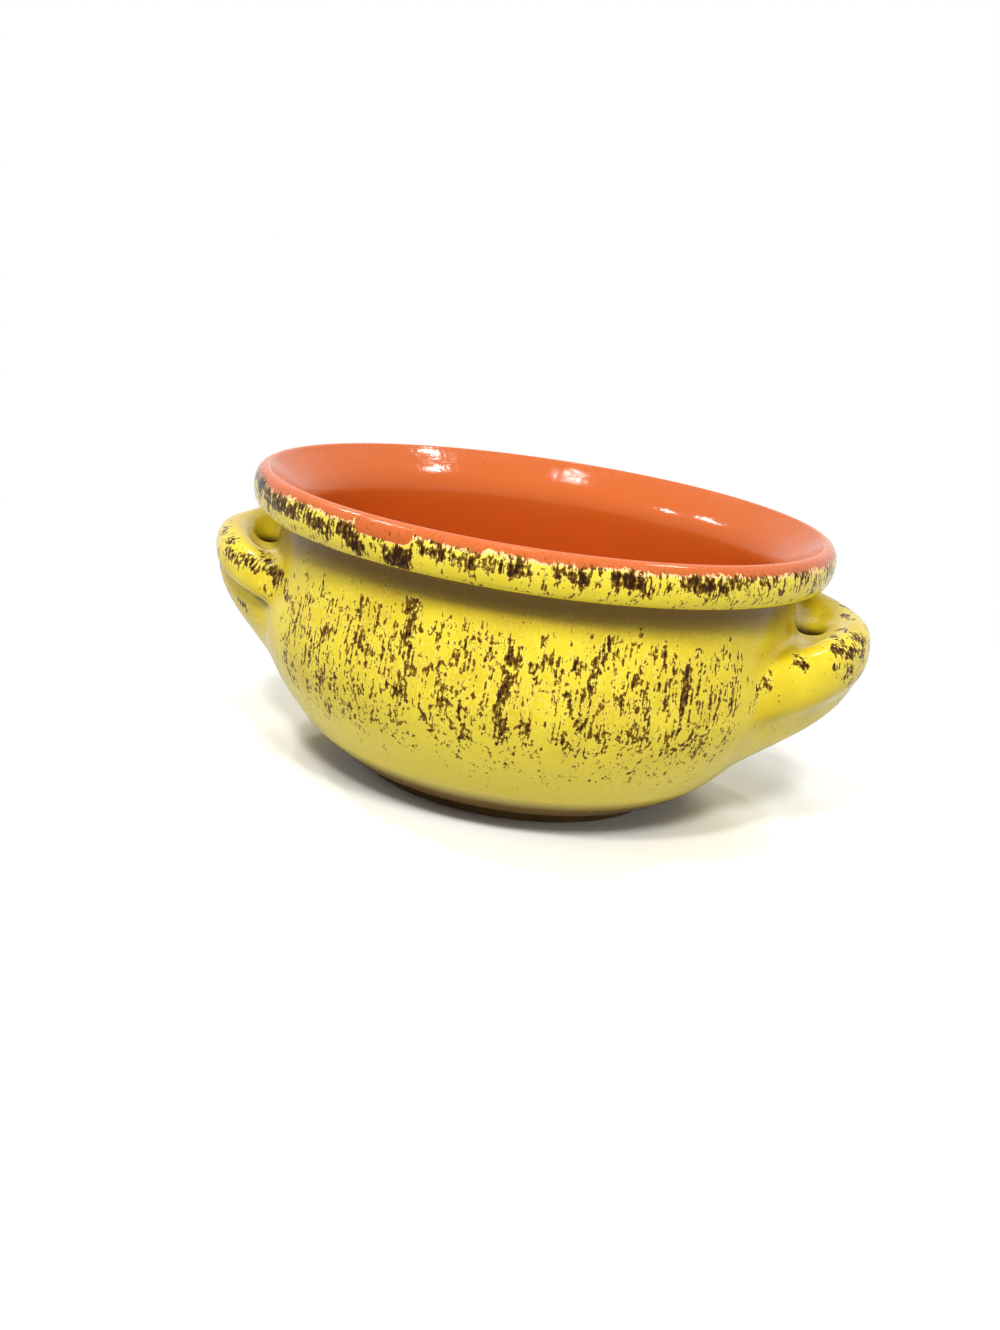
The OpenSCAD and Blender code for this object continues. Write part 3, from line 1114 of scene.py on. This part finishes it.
        # Noise lies about a half, so this is what the mix has to pass before brown shows.
        bare = 0.5 * sum(grain.share for grain in self.grains) + self.cover
        dark, core, halo = (
            graph.add("MapRange", {0: mix, 1: bare + low, 2: bare + high})
            for low, high in (self.dark_cut, self.core_cut, self.halo_cut)
        )
        touched = graph.add("MapRange", {0: amount, 2: self.least_brown})
        dark = graph.add("Math", {0: dark, 1: touched}, operation="MULTIPLY")
        halo = graph.add("Math", {0: halo, 1: amount}, operation="MULTIPLY")
        return dark, core, halo

    def _edge(self, graph: Graph, along: Socket, z: Socket) -> tuple[Socket, Socket]:
        """The ragged edge of the orange on the roll, with a line of cream where the glazes meet.

        Args:
            graph: The material's nodes.
            along: Where to read noise.
            z: Height in metres.

        Returns:
            How far there is cream, and how far orange.
        """
        ragged = graph.add(
            "TexNoise", {"Vector": along, "Scale": 1 / (self.edge_mm * MM), "Detail": 5.0, "Roughness": 0.7}
        )
        edge = graph.add("Math", {0: ragged, 1: self.ragged_mm * MM, 2: z}, operation="MULTIPLY_ADD")
        ran = graph.add("Attribute", out="Fac", attribute_name="orange_run")
        edge = graph.add("Math", {0: ran, 1: self.ran_mm * MM, 2: edge}, operation="MULTIPLY_ADD")
        line = (self.edge_z + self.ragged_mm / 2) * MM
        cream, orange = (
            graph.add("MapRange", {0: edge, 1: line + start * MM, 2: line + end * MM})
            for start, end in (self.cream_mm, self.orange_mm)
        )
        return cream, orange

    def _along_the_wall(self, graph: Graph, place: Socket) -> Socket:
        """A place to read noise at, which draws it out along the wall, the way the brush ran.

        Args:
            graph: The material's nodes.
            place: Object coordinates in metres.

        Returns:
            The place, with heights and radii shortened by the same share and the way round kept.
        """
        flat = graph.add("VectorMath", {0: place, 1: (1, 1, 0)}, operation="MULTIPLY")
        around = graph.add("VectorMath", {0: flat}, operation="NORMALIZE")
        kept = (1 - self.run) * self.rim_r * MM
        around = graph.add("VectorMath", {0: around, "Scale": kept}, operation="SCALE")
        shorter = (self.run, self.run, self.run)
        return graph.add("VectorMath", {0: place, 1: shorter, 2: around}, operation="MULTIPLY_ADD")


# Sub-assemblies


class Slot(Enum):
    """The record's material slots."""

    CLAY = "clay"
    ORANGE_GLAZE = "orange_glaze"
    YELLOW_GLAZE = "yellow_glaze"


def dress(piece: bpy.types.Object, finish: bpy.types.Material, nodes: Sequence[str]) -> None:
    """Give a piece its material and tie it to the CAD part.

    Args:
        piece: The new piece.
        finish: Its material.
        nodes: The CAD nodes that it stands for.
    """
    piece.data.materials.clear()
    piece.data.materials.append(finish)
    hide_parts(*nodes)
    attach(piece, BODY)
    LOG.info("%s: %d vertices, stands for %s", piece.name, len(piece.data.vertices), ", ".join(nodes))


@dataclass
class ClayBody:
    """The thrown clay under the glazes, of which only the foot shows.

    The foot's ring is a run from the hollow's edge to the table, measured from the ring's inside.
    """

    bowl: BowlShape
    glaze: float = 0.4
    segments: int = 256
    ring_run: tuple[Point, ...] = ((-1.2, 1.0), (-0.3, 0.7), (0.2, 0.12), (0.8, 0.0))
    edge_steps: int = 6

    def build(self, finish: bpy.types.Material) -> None:
        """Turn the clay body.

        Args:
            finish: The bare clay's material.
        """
        b = self.bowl
        inner_r = b.foot_r - b.foot_ring
        ring = np.array([[0, b.foot_hollow], *[[inner_r + out, z] for out, z in self.ring_run]])
        edge = arc([b.foot_r - b.foot_edge, b.foot_edge], (b.foot_edge, b.foot_edge), -90, 0, self.edge_steps)
        clay = moved_in(joined(b.outer_run(), b.inner_run()), self.glaze)
        clay[-1] = [0, b.floor_z - self.glaze]
        run = np.concatenate([ring, edge, [[b.foot_r, b.foot_h]], clay])
        piece = mesh_object("clay_body", *thrown(run, self.segments))
        dress(piece, finish, ["bowl_body"])


@dataclass
class InnerGlaze:
    """The orange glaze, from the crest of the lip down over the floor."""

    bowl: BowlShape
    thickness: float = 0.5
    segments: int = 320

    def build(self, finish: bpy.types.Material) -> None:
        """Turn the glaze.

        Args:
            finish: The orange glaze's material.
        """
        run = self.bowl.inner_run()
        under = moved_in(run, self.thickness)
        under[0] = self.bowl.crest - [0, self.thickness]
        under[-1] = [0, run[-1][1] - self.thickness]
        piece = mesh_object("orange_glaze", *thrown(np.concatenate([under[::-1], run]), self.segments))
        dress(piece, finish, ["inner_glaze"])


@dataclass
class OuterSkin:
    """The yellow skin over the bowl's outside and both ears.

    The bowl and the ears are cast in one, softened where the potter's thumb smoothed them, and laid
    back on the exact outline elsewhere. The skin is then cut into the bowl's coat and one for each ear.
    Pairs of numbers are where a soft step starts and where it is full: a zone's are measured out from
    the ear's ends, down from its root and down from the neck, and a mouth's up from the hole's rim.
    """

    bowl: BowlShape
    ears: tuple[Ear, Ear]
    view: Viewpoint
    voxel: float = 0.8
    blank_segments: int = 360
    below: float = 4.0
    softenings: int = 16
    normal_softenings: int = 3
    thickness: float = 0.5
    joint_height: float = 0.35
    joint_below: float = 1.0
    line_points: int = 1400
    chunk: int = 4000
    zone_ends: Point = (8.0, 4.0)
    zone_root: Point = (7.0, 3.0)
    zone_neck: Point = (0.5, 2.5)
    speckle: float = 0.45
    speckle_z: tuple[Point, Point] = ((12.0, 33.0), (63.0, 48.0))
    speckle_off_ears: float = 0.85
    sponging: tuple[tuple[float, float, float], ...] = ((0.22, 66.0, 70.0), (0.3, 62.0, 65.5))
    sponging_top: Point = (74.3, 72.8)
    ear_sponging: float = 0.4
    ear_sponging_r: Point = (79.0, 85.0)
    # How dark the painted shade in the ears' creases and finger holes is, and where it lies.
    crease_rounds: int = 8
    crease_dark: float = 0.75
    crease_depth: Point = (0.04, 0.16)
    crease_z: Point = (49.0, 46.0)
    hole_soft: float = 0.9
    mouth: Point = (0.8, -1.8)

    def build(self, finish: bpy.types.Material) -> None:
        """Cast, soften, brush and cut the skin.

        Args:
            finish: The yellow glaze's material.
        """
        points, faces = self._cast()
        quads = np.array([f if len(f) == 4 else [*f, f[-1]] for f in faces])
        zone = self._ear_zone(points)
        points = self._softened(points, quads, zone, self.softenings)
        points, exact, place = self._laid_back(points, zone)
        past_end = (place[quads] <= TINY).all(1) | (place[quads] >= place.max() - TINY).all(1)
        quads = quads[~past_end]
        normals = self._normals(points, quads, zone, exact)
        used = np.unique(quads)
        points, normals, zone = points[used], normals[used], zone[used]
        quads = np.searchsorted(used, quads)

        paint = SkinPaint(points, quads.tolist(), self.view)
        brown = paint.laid(FRONT_STROKES + EAR_STROKES + RIM_STROKES)
        brown = np.maximum.reduce([brown, paint.laid_behind(), self._background(points, zone)])
        # Painted shade: darken the finger holes and the ears' creases.
        hollow = np.maximum(self._hole_painted_shade(points), self._crease_painted_shade(points, quads, normals, zone))
        layers = {"brown": brown * (1 - hollow), "orange_run": paint.laid(ORANGE_RUNS), "hollow": hollow}

        middle = points[quads].mean(1)
        proud = np.hypot(middle[:, 0], middle[:, 1]) - self.bowl.wall_r(middle[:, 2])
        on_ear = (proud > self.joint_height) & (middle[:, 2] < self.bowl.neck[1] - self.joint_below)
        parts = [("yellow_glaze", ~on_ear, ["outer_glaze"])]
        parts += [(ear.name, on_ear & (middle[:, 0] * ear.side > 0), ear.nodes) for ear in self.ears]
        for name, chosen, nodes in parts:
            piece = self._coat(name, points, quads[chosen], normals, layers)
            dress(piece, finish, nodes)

    def _cast(self) -> tuple[np.ndarray, list[list[int]]]:
        """Join the bowl's blank and both ears into one closed mesh of even quads.

        Returns:
            Its points and its faces.
        """
        bottom = [[0, -self.below], [self.bowl.foot_r, -self.below]]
        blank = np.concatenate([bottom, self.bowl.outer_run(), [[0, self.bowl.height]]])
        points, faces = thrown(blank, self.blank_segments)
        helpers = []
        for ear in self.ears:
            form = ear.solid(self.bowl)
            helpers += [form, form.modifiers[0].object]
            ear_points, ear_faces = evaluated(form)
            faces = faces + [[i + len(points) for i in f] for f in ear_faces]
            points = np.vstack([points, ear_points])
        cast = mesh_object("cast", points, faces)
        remesh = cast.modifiers.new("cast", "REMESH")
        remesh.mode, remesh.voxel_size = "VOXEL", self.voxel * MM
        result = evaluated(cast)
        for helper in [cast, *helpers]:
            bpy.data.objects.remove(helper)
        return result

    def _ear_zone(self, points: np.ndarray) -> np.ndarray:
        """Share of each vertex that belongs to an ear and its rounding.

        Args:
            points: The skin's vertices.

        Returns:
            The share at each vertex, from 0 to 1.
        """
        zone = np.zeros(len(points))
        for ear in self.ears:
            angle = np.degrees(np.abs(np.arctan2(points[:, 1], points[:, 0] * ear.side)))
            share = smooth_step(angle, *(ear.half_angle + past for past in self.zone_ends))
            share *= smooth_step(points[:, 2], *(ear.keel_root - down for down in self.zone_root))
            share *= smooth_step(points[:, 2], *(self.bowl.neck[1] - down for down in self.zone_neck))
            zone = np.maximum(zone, share)
        return zone

    @staticmethod
    def _softened(values: np.ndarray, quads: np.ndarray, weight: np.ndarray, rounds: int) -> np.ndarray:
        """Draw each vertex half-way towards the mean of its neighbours.

        Args:
            values: One row per vertex.
            quads: The faces.
            weight: How much each vertex takes part, from 0 to 1.
            rounds: How often.

        Returns:
            The softened rows.
        """
        a = quads.ravel()
        b = np.roll(quads, -1, 1).ravel()
        count = np.bincount(a, minlength=len(values)) + np.bincount(b, minlength=len(values))
        count = np.maximum(count, 1)
        values = values.copy()
        for _ in range(rounds):
            for k in range(3):
                v = values[:, k]
                total = np.bincount(a, v[b], len(v)) + np.bincount(b, v[a], len(v))
                values[:, k] = v + 0.5 * weight * (total / count - v)
        return values

    def _laid_back(self, points: np.ndarray, zone: np.ndarray) -> tuple[np.ndarray, np.ndarray, np.ndarray]:
        """Lay the skin outside the ears' zones back on the bowl's exact outline.

        Args:
            points: The skin's vertices.
            zone: Share of each that belongs to an ear.

        Returns:
            The new points, the exact outline's normals there, and how far along the outline each lies.
        """
        run = self.bowl.outer_run()
        run = run[np.append(True, np.linalg.norm(np.diff(run, axis=0), axis=1) > TINY)]
        along = np.append(0, np.cumsum(np.linalg.norm(np.diff(run, axis=0), axis=1)))
        fine = np.linspace(0, along[-1], self.line_points)
        line = np.stack([np.interp(fine, along, run[:, k]) for k in range(2)], 1)
        way = unit(np.gradient(line, axis=0))
        out = np.stack([way[:, 1], -way[:, 0]], 1)
        radius = np.hypot(points[:, 0], points[:, 1])
        level = np.stack([radius, points[:, 2]], 1)
        place = np.zeros(len(points), int)
        for chunk in np.array_split(np.arange(len(points)), len(points) // self.chunk + 1):
            gap = (level[chunk, None, 0] - line[:, 0]) ** 2 + (level[chunk, None, 1] - line[:, 1]) ** 2
            place[chunk] = gap.argmin(1)
        over_crest = (points[:, 2] > self.bowl.height - self.voxel) & (radius < self.bowl.crest[0])
        place[over_crest] = len(fine) - 1
        place[points[:, 2] < self.bowl.foot_h] = 0
        around = points[:, :2] / np.maximum(radius, TINY)[:, None]
        laid, normals = (np.column_stack([around * row[place, :1], row[place, 1]]) for row in (line, out))
        return laid + zone[:, None] * (points - laid), normals, fine[place]

    def _normals(
        self, points: np.ndarray, quads: np.ndarray, zone: np.ndarray, exact: np.ndarray
    ) -> np.ndarray:
        """Normals for a clean reflection: the outline's own, and softened ones on the ears.

        Args:
            points: The skin's vertices.
            quads: The faces.
            zone: Share of each vertex that belongs to an ear.
            exact: The outline's normals.

        Returns:
            One row per vertex.
        """
        corner = points[quads]
        facing = np.cross(corner[:, 2] - corner[:, 0], corner[:, 3] - corner[:, 1])
        normals = np.stack(
            [sum(np.bincount(quads[:, j], facing[:, k], len(points)) for j in range(4)) for k in range(3)], 1
        )
        normals = unit(self._softened(unit(normals), quads, np.ones(len(points)), self.normal_softenings))
        return unit(exact + zone[:, None] * (normals - exact))

    def _background(self, points: np.ndarray, zone: np.ndarray) -> np.ndarray:
        """Brown that lies everywhere: fine speckle on the wall, sponging on the roll and the ears.

        Args:
            points: The skin's vertices.
            zone: Share of each that belongs to an ear.

        Returns:
            The amount at each vertex, from 0 to 1.
        """
        z = points[:, 2]
        low, high = self.speckle_z
        wall = self.speckle * smooth_step(z, *low) * smooth_step(z, *high)
        wall = wall * (1 - self.speckle_off_ears * zone)
        roll = sum(amount * smooth_step(z, start, full) for amount, start, full in self.sponging)
        radius = np.hypot(points[:, 0], points[:, 1])
        ears = smooth_step(radius, *self.ear_sponging_r) * zone * self.ear_sponging
        return np.maximum.reduce([wall, roll * smooth_step(z, *self.sponging_top), ears])

    def _crease_painted_shade(
        self, points: np.ndarray, quads: np.ndarray, normals: np.ndarray, zone: np.ndarray
    ) -> np.ndarray:
        """How far each vertex of an ear lies in a crease, where shade is painted in dark brown.

        Args:
            points: The skin's vertices.
            quads: The faces.
            normals: The skin's normals.
            zone: Share of each vertex that belongs to an ear.

        Returns:
            The amount at each vertex, from 0 to 1.
        """
        level = self._softened(points, quads, np.ones(len(points)), self.crease_rounds)
        depth = ((level - points) * normals).sum(1)
        in_crease = smooth_step(depth, *self.crease_depth) * smooth_step(points[:, 2], *self.crease_z)
        return self.crease_dark * zone * in_crease

    def _hole_painted_shade(self, points: np.ndarray) -> np.ndarray:
        """How far each vertex lies inside a finger hole, where shade is painted in dark brown.

        Args:
            points: The skin's vertices.

        Returns:
            The amount at each vertex, from 0 to 1.
        """
        amount = np.zeros(len(points))
        for ear in self.ears:
            away = np.hypot(points[:, 0] * ear.side - ear.hole_r(self.bowl, points[:, 2]), points[:, 1])
            inside = smooth_step(away, 0.5 * ear.hole_d + self.hole_soft, 0.5 * ear.hole_d)
            mouth_z = ear.tip_z + ear.rise - ear.dish
            inside *= smooth_step(points[:, 2], *(mouth_z + up for up in self.mouth))
            amount = np.maximum(amount, inside)
        return amount

    def _coat(
        self, name: str, points: np.ndarray, quads: np.ndarray, normals: np.ndarray,
        layers: Mapping[str, np.ndarray],
    ) -> bpy.types.Object:
        """Make a closed coat of the glaze's thickness from part of the skin.

        Args:
            name: Name of the piece.
            points: The skin's vertices.
            quads: The part's faces.
            normals: The skin's normals.
            layers: Amounts at the skin's vertices, by the names that the material reads.

        Returns:
            The piece.
        """
        used = np.unique(quads)
        faces = np.searchsorted(used, quads)
        n = len(used)
        outer, out = points[used], normals[used]
        there = set(zip(faces.ravel().tolist(), np.roll(faces, -1, 1).ravel().tolist()))
        border = sorted((a, b) for a, b in there if (b, a) not in there and a != b)
        whole = faces.tolist() + (faces[:, ::-1] + n).tolist() + [[b, a, a + n, b + n] for a, b in border]
        whole = [[v for i, v in enumerate(f) if v != f[i - 1]] for f in whole]
        both = np.vstack([outer, outer - self.thickness * out])
        mesh = bpy.data.meshes.new(name)
        mesh.from_pydata((both * MM).tolist(), [], whole)
        mesh.shade_smooth()
        mesh.normals_split_custom_set_from_vertices(np.vstack([out, -out]).tolist())
        for layer_name, amount in layers.items():
            layer = mesh.attributes.new(layer_name, "FLOAT", "POINT")
            layer.data.foreach_set("value", np.tile(amount[used], 2).astype(np.float32))
        return placed(name, mesh)


# Studio


@dataclass(frozen=True)
class Lamp:
    """A soft box that points at the crock; the mirrored ones show in its gloss."""

    name: str
    place: Place
    size: float
    watts: float
    mirrored: bool = False
    aim: Place = (0.0, 0.0, 0.04)

    def build(self) -> None:
        """Hang the lamp."""
        light = bpy.data.lights.new(self.name, "AREA")
        light.energy, light.size = self.watts, self.size
        lamp = placed(self.name, light)
        lamp.visible_glossy = self.mirrored
        lamp.location = self.place
        lamp.rotation_euler = (Vector(self.aim) - Vector(self.place)).to_track_quat("-Z", "Y").to_euler()


@dataclass
class Studio:
    """The pale floor, the white surroundings and the lamps."""

    floor_mm: float = 8000.0
    floor_colour: str = "#f0f0ee"
    bounce_colour: str = "#bcbcba"
    floor_rough: float = 0.9
    surroundings: str = "#ffffff"
    fade_m: Point = (0.16, 0.34)
    fill: float = 0.12
    lamps: tuple[Lamp, ...] = (
        Lamp("key_left", (-0.17, -0.75, 0.83), 0.12, 6.3),
        Lamp("key_right", (0.20, -0.74, 0.83), 0.16, 7.0),
        Lamp("top", (0.12, -0.08, 1.12), 0.3, 2.0),
        Lamp("side_left", (-0.90, -0.33, 0.55), 0.4, 1.6),
        Lamp("side_right", (0.92, -0.43, 0.41), 0.4, 1.8),
        Lamp("behind", (0.10, 0.92, 0.62), 0.4, 5.5),
        Lamp("high_right", (0.37, 0.21, 0.91), 0.07, 1.3, mirrored=True),
        Lamp("high_left", (-0.54, -0.04, 0.82), 0.05, 1.6, mirrored=True),
        Lamp("high_left_behind", (-0.58, 0.25, 0.76), 0.05, 1.6, mirrored=True),
        Lamp("overhead", (-0.08, 0.05, 1.02), 0.035, 0.5, mirrored=True),
    )

    def build(self) -> None:
        """Set up the floor, the world and the lamps, and show colours as they are written."""
        bpy.context.scene.view_settings.view_transform = "Standard"
        corners = np.array([[-1, -1, 0], [1, -1, 0], [1, 1, 0], [-1, 1, 0]]) * self.floor_mm / 2
        floor = mesh_object("floor", corners, [[0, 1, 2, 3]])
        floor.data.materials.append(self._floor_material())
        world = bpy.data.worlds.new("studio")
        world.use_nodes = True
        bpy.context.scene.world = world
        graph = Graph(world.node_tree)
        light = graph.add("Mix", {0: self._seen(graph), 2: self.fill, 3: 1.0}, data_type="FLOAT")
        sky = graph.add("Background", {"Color": linear(self.surroundings), "Strength": light})
        graph.add("OutputWorld", {"Surface": sky})
        for lamp in self.lamps:
            lamp.build()
        LOG.info("studio: floor, world and %d lamps", len(self.lamps))

    @staticmethod
    def _seen(graph: Graph) -> Socket:
        """Tell the rays that show the background: from the camera, or off gloss or through glass.

        Args:
            graph: The nodes to add to.

        Returns:
            One for such a ray and 0 for others.
        """
        seen = graph.add("LightPath", out="Is Camera Ray")
        for ray in ("Is Glossy Ray", "Is Transmission Ray"):
            seen = graph.add("Math", {0: seen, 1: graph.add("LightPath", out=ray)}, operation="MAXIMUM")
        return seen

    def _floor_material(self) -> bpy.types.Material:
        """White paper that fades into the white surroundings away from the crock.

        Returns:
            The material.
        """
        material = bpy.data.materials.new("white paper sweep")
        material.use_nodes = True
        graph = Graph(material.node_tree)
        place = graph.add("TexCoord", out="Object")
        away = graph.add("VectorMath", {0: place}, out="Value", operation="LENGTH")
        fade = {0: away, 1: self.fade_m[0], 2: self.fade_m[1]}
        far = graph.add("MapRange", fade, interpolation_type="SMOOTHSTEP")
        shown = graph.add("LightPath", out="Is Camera Ray")
        tones = {6: linear(self.bounce_colour), 7: linear(self.floor_colour)}
        tone = graph.add("Mix", {0: shown, **tones}, **COLOURS)
        paper = graph.add("BsdfPrincipled", {"Base Color": tone, "Roughness": self.floor_rough})
        white = graph.add("Emission", {"Color": linear(self.surroundings), "Strength": 1.0})
        share = graph.add("Math", {0: self._seen(graph), 1: far}, operation="MULTIPLY")
        shader = graph.add("MixShader", {0: share, 1: paper, 2: white})
        graph.add("OutputMaterial", {"Surface": shader})
        return material


def main() -> None:
    logging.basicConfig(level=logging.INFO, format="%(name)s: %(message)s")
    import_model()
    bowl = BowlShape()
    left = Ear(
        "left", -1, out=17.2, rise=7.2, drop=3.8, front_sink=5.5, keel_root=20.5, back_sink=-8.0, crease=3.4,
        crease_w=2.6,
    )
    right = Ear(
        "right", 1, out=19.4, rise=6.8, drop=8.4, front_sink=10.0, keel_root=11.5, keel_bend=0.46, blend=10.0
    )
    view = Viewpoint()
    view.build()
    Studio().build()
    ClayBody(bowl).build(BisqueClay().material())
    InnerGlaze(bowl).build(OrangeGlaze().material())
    OuterSkin(bowl, (left, right), view).build(YellowGlaze().material())


if __name__ == "__main__":
    main()
